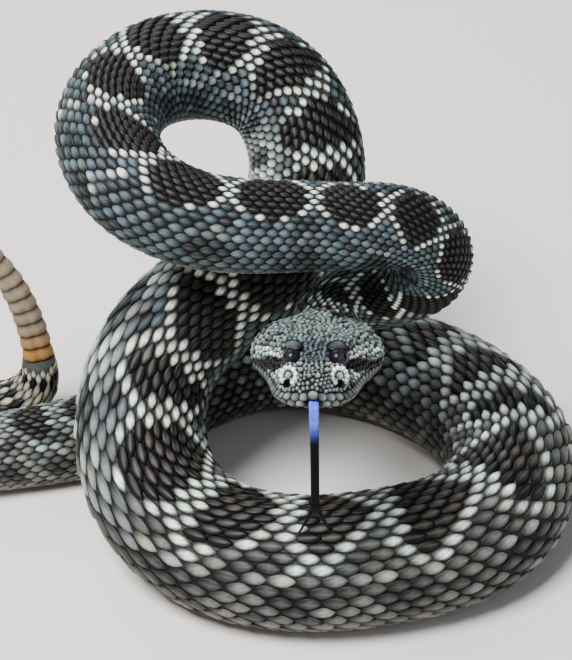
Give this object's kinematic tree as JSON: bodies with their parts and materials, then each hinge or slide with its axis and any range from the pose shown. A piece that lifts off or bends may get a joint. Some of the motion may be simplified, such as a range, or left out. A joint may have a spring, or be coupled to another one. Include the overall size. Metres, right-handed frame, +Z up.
{
  "type": "western diamondback rattlesnake",
  "caption": "Life-size still model of a western diamondback rattlesnake, coiled and raised to strike, tongue out and rattle up, resting on its belly.",
  "frame": {"origin": "middle of the coil's footprint, on the floor", "axes": "+Z up; the snake faces -Y; its rattle stands on the -X side"},
  "size_m": [0.2805, 0.1662, 0.1601],
  "materials": {
    "body_scales": "satin",
    "head_scales": "satin",
    "tail_scales": "satin",
    "eye": "gloss",
    "tongue": "wet",
    "rattle": "satin"
  },
  "bodies": {
    "root": {"body_01": "body_scales", "body_02": "body_scales", "body_03": "body_scales", "body_04": "body_scales", "body_05": "body_scales", "body_06": "body_scales", "body_07": "body_scales", "body_08": "body_scales", "body_09": "body_scales", "body_10": "body_scales", "body_11": "body_scales", "body_12": "body_scales", "body_13": "body_scales", "body_14": "body_scales", "body_15": "body_scales", "body_16": "body_scales", "body_17": "body_scales", "body_18": "body_scales", "eye_left": "eye", "eye_right": "eye", "head": "head_scales", "lower_jaw": "head_scales", "neck_01": "body_scales", "neck_02": "body_scales", "rattle": "rattle", "tail_01": "tail_scales", "tail_02": "tail_scales", "tongue": "tongue"}
  },
  "joints": []
}
